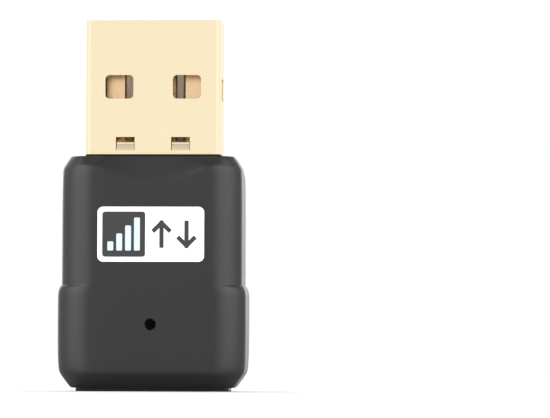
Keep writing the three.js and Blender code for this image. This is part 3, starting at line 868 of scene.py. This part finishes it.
@dataclass
class Plug:
    """The plug's folded shell, its tongue and its four contacts, in millimetres."""

    low: float = 20.92
    high: float = 32.8
    half_width: float = 6.0
    half_depth: float = 2.25
    wall: float = 0.3
    corner: float = 0.5
    latch: tuple[float, float, float, float] = (3.0, 26.9, 1.25, 1.05)  # x, z, half width, half height
    latch_corner: float = 0.38
    side: tuple[float, float, float] = (26.72, 1.0, 1.0)  # z, half width, half height
    side_corner: float = 0.45
    window: tuple[float, float, float, float] = (2.45, 21.27, 0.83, 1.18)  # x, low z, half width, height
    edge_round: float = 0.07
    tab_half_width: float = 0.79
    tab: tuple[float, float] = (-0.1, 0.62)  # from and to, measured up from the window's foot
    tab_sunk: float = 0.03
    tip: tuple[float, float] = (0.5, 1.35)
    tip_back: float = 0.09
    lean: float = 14.0  # degrees that the tab leans in
    bend: float = 68.0  # degrees that its tip bends further in
    leg_x: tuple[float, float] = (5.3, 5.6)
    leg_y: tuple[float, float] = (-1.7, -0.4)
    leg_through: float = 1.75  # how far back the foot goes, through the board
    leg_z: tuple[float, float] = (14.6, 16.6)  # the foot
    # The seam's dovetail: where it starts and ends, and how wide it is at both.
    dovetail: tuple[float, float, float, float] = (24.0, 25.3, 0.55, 0.95)
    seam_width: float = 0.05
    tongue_half_width: float = 5.6
    tongue_back: float = 1.84
    tongue_z: tuple[float, float] = (17.4, 32.55)
    groove: tuple[float, float, float] = (0.92, 0.28, 0.12)  # half width, depth, room past the tip
    channel: tuple[float, float, float] = (0.88, 0.08, 0.7)  # from the contact's middle, half width, depth
    contact_y: tuple[float, float] = (0.02, 0.25)
    contact_half_width: float = 0.8
    tail_half_width: float = 0.45
    tail_z: tuple[float, float] = (15.0, 17.4)
    dive: float = 0.15  # the bevel with which a contact dives at its tip
    contacts: dict[str, tuple[float, float]] = field(
        default_factory=lambda: {
            "contact_power": (-3.5, 31.5),
            "contact_data_minus": (-1.0, 30.5),
            "contact_data_plus": (1.0, 30.5),
            "contact_ground": (3.5, 31.5),
        }
    )

    @staticmethod
    def _hole(low: Sequence[float], high: Sequence[float], axis: int, corner: float) -> Bench:
        """Shape a cutter with round corners, to push through along one axis."""
        cutter = Bench.block("cutter", low, high)
        return cutter.edges(lambda a, b: abs(a[axis] - b[axis]) > 0.1).bevel(corner, 6)

    def shell(self) -> Bench:
        """Shape the shell: a folded box with its holes, windows, spring tabs, legs and seam.

        Returns:
            The shell.
        """
        w, d = self.half_width, self.half_depth
        shell = Bench.block("plug_jacket", (-w, -d, self.low), (w, d, self.high))
        shell.edges(lambda a, b: abs(a.z - b.z) > 1).bevel(self.corner, 6)
        shell.faces(lambda middle, normal: abs(normal.z) > 0.5).delete_faces()
        shell.modify("SOLIDIFY", thickness=self.wall, offset=-1)
        x, z, half, tall = self.latch
        for at in (-x, x):
            low, high = (at - half, -d - 1, z - tall), (at + half, d + 1, z + tall)
            shell.cut(self._hole(low, high, 1, self.latch_corner))
        z, half, tall = self.side
        shell.cut(self._hole((-w - 1, -half, z - tall), (w + 1, half, z + tall), 0, self.side_corner))
        x, z, half, tall = self.window
        for at in (-x, x):
            shell.cut(Bench.block("window", (at - half, -d - 1, z), (at + half, -d + 0.5, z + tall)))
        shell.round_edges(self.edge_round, 3)
        for at in (-x, x):
            shell.join(self._tab(at))
            shell.join(self._leg(math.copysign(1, at)))
        for seam in self._seams():
            shell.cut(seam)
        return shell

    def _tab(self, x: float) -> Bench:
        """Shape a spring tab: it stands up from the foot of its window, then bends in towards the tongue.

        Args:
            x: The tab's middle.

        Returns:
            The tab.
        """
        z, front = self.window[1], -self.half_depth
        near, far = front + self.tab_sunk, front + self.wall
        left, right = x - self.tab_half_width, x + self.tab_half_width
        foot, top = self.tab
        tab = Bench.block("tab", (left, near, z + foot), (right, far, z + top)).round_edges(0.05)
        tab.all().turn(math.radians(-self.lean), "X", (x, front, z - 0.05))
        foot, top = self.tip
        back = self.tip_back
        tip = Bench.block("tip", (left, near + back, z + foot), (right, far + back, z + top)).round_edges(0.05)
        tip.all().turn(math.radians(-self.bend), "X", (x, far, z + 0.58))
        return tab.join(tip)

    def _leg(self, side: float) -> Bench:
        """Shape a solder leg, from the shell's narrow side down through the board.

        Args:
            side: -1 for the left leg and 1 for the right one.

        Returns:
            The leg.
        """
        inner, outer = self.leg_x
        x0, x1 = sorted((side * inner, side * outer))
        s0, s1 = sorted((side * inner, side * (self.half_width - 0.1)))
        (front, back), (foot, foot_top), top = self.leg_y, self.leg_z, self.low + 0.5
        leg = Bench.block("leg", (x0, front, foot), (x1, back, top))
        leg.join(Bench.block("shoulder", (s0, front, self.low + 0.03), (s1, back, top)))
        leg.join(Bench.block("foot", (x0, back - 0.2, foot), (x1, self.leg_through, foot_top)))
        return leg.round_edges(0.05, 2)

    def _seams(self) -> Iterable[Bench]:
        """Shape the cutters of the seam up the back, with one side of its dovetail.

        Yields:
            One straight slit after another.
        """
        low, high, neck, flare = self.dovetail
        path = [(0, self.low - 1), (0, low), (neck, low), (flare, high), (0, high), (0, self.high + 1)]
        for (ax, az), (bx, bz) in zip(path, path[1:]):
            middle = ((ax + bx) / 2, self.half_depth, (az + bz) / 2)
            size = (self.seam_width, 1.0, math.hypot(bx - ax, bz - az) + self.seam_width)
            low_corner = [m - s / 2 for m, s in zip(middle, size)]
            slit = Bench.block("slit", low_corner, [m + s / 2 for m, s in zip(middle, size)])
            slit.all().turn(math.atan2(bx - ax, bz - az), "Y", middle)
            yield slit

    def tongue(self) -> Bench:
        """Shape the tongue, with a groove for each contact.

        Returns:
            The tongue.
        """
        (bottom, top), half = self.tongue_z, self.tongue_half_width
        tongue = Bench.block("tongue", (-half, 0, bottom), (half, self.tongue_back, top))
        half, depth, room = self.groove
        off, narrow, deep = self.channel
        foot = bottom - 1.4
        for x, tip in self.contacts.values():
            end = tip + room
            tongue.cut(Bench.block("groove", (x - half, -1, foot), (x + half, depth, end)))
            for edge in (x - off, x + off):
                tongue.cut(Bench.block("channel", (edge - narrow, -1, foot), (edge + narrow, deep, end)))
        return tongue.round_edges(0.08)

    def contact(self, node: str, x: float, tip: float) -> Bench:
        """Shape a contact: a strip that dives at its tip, and a narrower tail that lies on the board.

        Args:
            node: The CAD node that it stands for.
            x: Its middle.
            tip: The height of its tip.

        Returns:
            The contact.
        """
        (front, back), (tail_foot, tail_top) = self.contact_y, self.tail_z
        half, narrow = self.contact_half_width, self.tail_half_width
        strip = Bench.block(f"{node}_strip", (x - half, front, tail_top - 0.2), (x + half, back, tip))
        strip.edges(lambda a, b: min(a.z, b.z) > tip - TOUCH and max(a.y, b.y) < 0.1).bevel(self.dive, 4)
        strip.join(Bench.block("tail", (x - narrow, front, tail_foot), (x + narrow, back, tail_top)))
        return strip.round_edges(0.03, 2)

    def dress(self) -> None:
        """Build the plug's pieces and finish them."""
        self.shell().finish("plug_metal", GOLD, ["plug_shell"])
        self.tongue().finish("tongue", TONGUE_PAINTED_REFLECTION, ["plug_tongue"])
        for node, (x, tip) in self.contacts.items():
            self.contact(node, x, tip).finish("contacts", CONTACT_GOLD_PAINTED_SHADE, [node])


# ---- The label ------------------------------------------------------------------------------------


@dataclass
class Label:
    """The printed label: white film, a dark badge with rising bars, and two plain arrows."""

    z: float = 13.78
    face: float = -3.93
    half_width: float = 4.7
    half_height: float = 2.42
    corner: float = 0.5
    thickness: float = 0.1
    ink: float = 0.006
    margin: float = 0.43
    badge: tuple[float, float] = (3.78, 3.98)
    badge_corner: float = 0.25
    bars: int = 4
    bar_pitch: float = 0.78
    bar_half_width: float = 0.26
    bar_foot: float = 0.55  # how far over the badge's lower edge the bars stand
    bar_heights: tuple[float, float] = (0.8, 0.7)  # the first bar's, and how much each next one adds
    arrows: tuple[tuple[str, float, int], ...] = (("arrow_up", 0.95, 1), ("arrow_down", 3.15, -1))
    arrow_reach: float = 1.2  # half of an arrow's length
    stroke: float = 0.38
    stroke_length: float = 1.1
    ink_corner: float = 0.05

    def _layer(self, number: int) -> tuple[float, float]:
        """Give the two depths of a layer of ink: the first lies on the film, the next on the first."""
        return self.face - number * self.ink, self.face + self.ink

    def _plate(
        self, name: str, low: Sequence[float], high: Sequence[float], depth: Sequence[float], corner: float
    ) -> Bench:
        """Shape a thin plate with round corners.

        Args:
            name: The plate's name.
            low: Its lowest X and Z.
            high: Its highest X and Z.
            depth: Its lowest and highest Y.
            corner: The radius of its corners.

        Returns:
            The plate.
        """
        plate = Bench.block(name, (low[0], depth[0], low[1]), (high[0], depth[1], high[1]))
        return plate.edges(lambda a, b: abs(a.x - b.x) + abs(a.z - b.z) < HAIR / 10).bevel(corner, 8)

    def film(self) -> Bench:
        """Shape the label's film.

        Returns:
            The film.
        """
        half_width, low, high = self.half_width, self.z - self.half_height, self.z + self.half_height
        depth = (self.face, self.face + self.thickness)
        film = self._plate("label_film", (-half_width, low), (half_width, high), depth, self.corner)
        return film.round_edges(0.015, 2, 60)

    def bar(self, number: int, middle: float, foot: float) -> Bench:
        """Shape one of the badge's rising bars.

        Args:
            number: Its number, from 0 at the left.
            middle: The badge's middle.
            foot: The height that the bars stand on.

        Returns:
            The bar.
        """
        x = middle + (number - (self.bars - 1) / 2) * self.bar_pitch
        first, more = self.bar_heights
        low, high = (x - self.bar_half_width, foot), (x + self.bar_half_width, foot + first + number * more)
        return self._plate(f"bar_{number + 1}", low, high, self._layer(2), 0.1)

    def arrow(self, name: str, x: float, up: int) -> Bench:
        """Shape a plain arrow: a shaft and two strokes that meet at its point.

        Args:
            name: The arrow's name.
            x: Its middle.
            up: 1 if it points up and -1 if it points down.

        Returns:
            The arrow.
        """
        half, reach, layer, corner = self.stroke / 2, self.arrow_reach, self._layer(1), self.ink_corner
        arrow = self._plate(name, (x - half, self.z - reach), (x + half, self.z + reach), layer, corner)
        point = self.z + up * (reach - half)
        low, high = (x - half, point - half), (x + half, point + self.stroke_length)
        for side in (-1, 1):
            stroke = self._plate("stroke", low, high, layer, corner)
            stroke.all().turn(math.radians(side * (135 if up > 0 else 45)), "Y", (x, self.face, point))
            arrow.join(stroke)
        return arrow

    def dress(self) -> None:
        """Build the label's film and its print, and finish them."""
        self.film().finish("label", FILM, ["label"])
        left, low = -self.half_width + self.margin, self.z - self.half_height + self.margin
        width, height = self.badge
        badge = self._plate("badge", (left, low), (left + width, low + height), self._layer(1), self.badge_corner)
        badge.finish("label", DARK_INK)
        for number in range(self.bars):
            self.bar(number, left + width / 2, low + self.bar_foot).finish("label", PALE_INK)
        for name, x, up in self.arrows:
            self.arrow(name, x, up).finish("label", DARK_INK)


# ---- The board's parts ----------------------------------------------------------------------------

NODE_FINISHES = {
    "plug_base": COLLAR_PAINTED_SHADE,
    "circuit_board": MASK,
    "printed_aerial": COPPER,
    "radio_chip": EPOXY,
    "crystal": TIN,
    "power_inductor": FERRITE,
    "voltage_regulator": EPOXY,
    "surge_protector": EPOXY,
    "band_filter": CERAMIC,
    "ferrite_bead": FERRITE,
    "status_light": LENS,
    "capacitor": CERAMIC,
    "resistor": EPOXY,
    "solder": TIN,
}


def dress_nodes() -> None:
    """Give each carried-over node its finish."""
    for name, node in frame["nodes"].items():
        finish = NODE_FINISHES.get(name) or NODE_FINISHES.get(name.split("_")[0])
        if finish and not node.hide_render:
            node.data.materials.clear()
            node.data.materials.append(finish.material())
            log.info("%s: %s", name, finish.name)


# ---- The studio -----------------------------------------------------------------------------------


@dataclass(frozen=True)
class Lamp:
    """A soft strip lamp: its name and direction.

    Each direction has two lamps: one that every piece sees, and one flagged off from the metal, because
    black plastic needs far more light than bright plating.
    """

    name: str
    angle: float  # degrees round from the front


@dataclass
class Studio:
    """A pale floor, a white sky, soft lights and the camera, in millimetres where not said otherwise."""

    frame_span: float = 48.88889  # how wide the frame is at the object's distance
    distance: float = 300.0
    azimuth: float = 4.9
    height: float = 1.6
    aside: float = 10.71  # how far to the object's right the camera looks
    lower: float = 0.16
    roll: float = 0.2
    level: float = 0.96  # the sky's brightness near the horizon
    overhead: float = 0.52
    fading: tuple[float, float] = (0.3, 0.8)  # the heights in the sky between which it changes
    sun_power: float = 1.8
    sun_spread: float = 60.0
    sun_lean: tuple[float, float] = (-25.0, -8.0)
    floor_size: float = 6.0  # metres
    lamps: tuple[Lamp, ...] = (
        Lamp("left_strip", -47),
        Lamp("right_strip", 47),
        Lamp("left_rear_strip", -136),
        Lamp("right_rear_strip", 136),
    )
    power: float = 0.13  # watts
    flagged_power: float = 2.3
    lamp_distance: float = 0.5  # metres
    lamp_gap: float = 0.02  # a flagged lamp hangs this far behind its neighbour
    lamp_height: float = 0.12
    lamp_size: tuple[float, float] = (0.46, 0.5)
    dull_finishes: tuple[str, ...] = (CASING.name, FILM.name, DARK_INK.name, PALE_INK.name)

    def floor(self) -> None:
        """Lay the floor."""
        bpy.ops.mesh.primitive_grid_add(x_subdivisions=2, y_subdivisions=2, size=self.floor_size)
        floor = bpy.context.object
        floor.name = "floor"
        # Uncoated paper: a matt near-white.
        floor.data.materials.append(MouldedPlastic("white_floor_paper", "f6f6f6", 0.9, grain=1.0).material())

    def sky(self) -> None:
        """Light the room evenly from all round and less from overhead, in front of a plain white backdrop."""
        world = bpy.data.worlds.new("studio")
        world.use_nodes = True
        bpy.context.scene.world = world
        tree = world.node_tree
        tree.nodes.clear()
        direction = add_node(tree, "ShaderNodeTexCoord").outputs["Generated"]
        up = add_node(tree, "ShaderNodeSeparateXYZ", {"Vector": direction}).outputs["Z"]
        low, high = self.fading
        ends = {"From Min": low, "From Max": high, "To Min": self.level, "To Max": self.overhead}
        falling = add_node(tree, "ShaderNodeMapRange", {"Value": up, **ends}).outputs["Result"]
        seen = add_node(tree, "ShaderNodeLightPath").outputs["Is Camera Ray"]
        strength = add_node(tree, "ShaderNodeMath", {0: falling, 1: seen}, operation="MAXIMUM").outputs["Value"]
        light = add_node(tree, "ShaderNodeBackground", {"Color": (1, 1, 1, 1), "Strength": strength})
        add_node(tree, "ShaderNodeOutputWorld", {"Surface": light.outputs[0]})

    def sun(self) -> None:
        """Let a very soft sun down on the floor, from above and behind."""
        data = bpy.data.lights.new("sun", "SUN")
        data.energy, data.angle = self.sun_power, math.radians(self.sun_spread)
        sun = bpy.data.objects.new("sun", data)
        bpy.context.scene.collection.objects.link(sun)
        sun.rotation_euler = (*(math.radians(lean) for lean in self.sun_lean), 0)

    def lamp(self, name: str, angle: float, distance: float, power: float) -> bpy.types.Object:
        """Hang a lamp that faces the object and is not itself seen.

        Args:
            name: The lamp's name.
            angle: Degrees round from the front.
            distance: Metres from the object.
            power: Watts.

        Returns:
            The lamp.
        """
        data = bpy.data.lights.new(name, "AREA")
        data.shape, data.size, data.size_y = "RECTANGLE", *self.lamp_size
        data.energy = power
        hung = bpy.data.objects.new(name, data)
        hung.visible_camera = False
        bpy.context.scene.collection.objects.link(hung)
        turn = math.radians(angle)
        hung.location = (distance * math.sin(turn), -distance * math.cos(turn), self.lamp_height)
        middle = (CAD_BOX[0] + CAD_BOX[1]) / 2
        hung.rotation_euler = (middle - hung.location).to_track_quat("-Z", "Y").to_euler()
        return hung

    def strips(self) -> None:
        """Hang the strip lamps: each has a soft one for everything and a strong one for what isn't metal."""
        dull = bpy.data.collections.new("lit_by_strong_strips")
        for piece in bpy.context.scene.objects:
            if piece.type == "MESH" and any(m and m.name in self.dull_finishes for m in piece.data.materials):
                dull.objects.link(piece)
        behind = self.lamp_distance + self.lamp_gap
        for lamp in self.lamps:
            self.lamp(lamp.name, lamp.angle, self.lamp_distance, self.power)
            strong = self.lamp(f"{lamp.name}_flagged", lamp.angle, behind, self.flagged_power)
            strong.light_linking.receiver_collection = dull

    def camera(self) -> None:
        """Stand the camera low in front, a little to the right, and look past the object's right side."""
        low, high = CAD_BOX
        data = bpy.data.cameras.new("camera")
        camera = bpy.data.objects.new("camera", data)
        bpy.context.scene.collection.objects.link(camera)
        bpy.context.scene.camera = camera
        data.lens = data.sensor_width / self.frame_span * self.distance
        data.clip_start, data.clip_end = 0.001, 20
        turn = math.radians(self.azimuth)
        camera.location = Vector((math.sin(turn) * self.distance, -math.cos(turn) * self.distance, self.height)) * MM
        middle = (low.z + high.z) / 2 - self.lower * MM
        aim = Vector((math.cos(turn) * self.aside * MM, math.sin(turn) * self.aside * MM, middle))
        camera.rotation_euler = (aim - camera.location).to_track_quat("-Z", "Y").to_euler()
        camera.rotation_euler.rotate_axis("Z", math.radians(self.roll))

    def build(self) -> None:
        """Build the studio."""
        self.floor()
        self.sky()
        self.sun()
        self.strips()
        self.camera()
        bpy.context.scene.view_settings.view_transform = "Standard"


def main() -> None:
    """Build the adapter and its studio."""
    logging.basicConfig(level=logging.INFO, format="%(message)s")
    bpy.ops.object.select_all(action="DESELECT")
    Casing().dress()
    Plug().dress()
    Label().dress()
    dress_nodes()
    Studio().build()


if __name__ == "__main__":
    main()
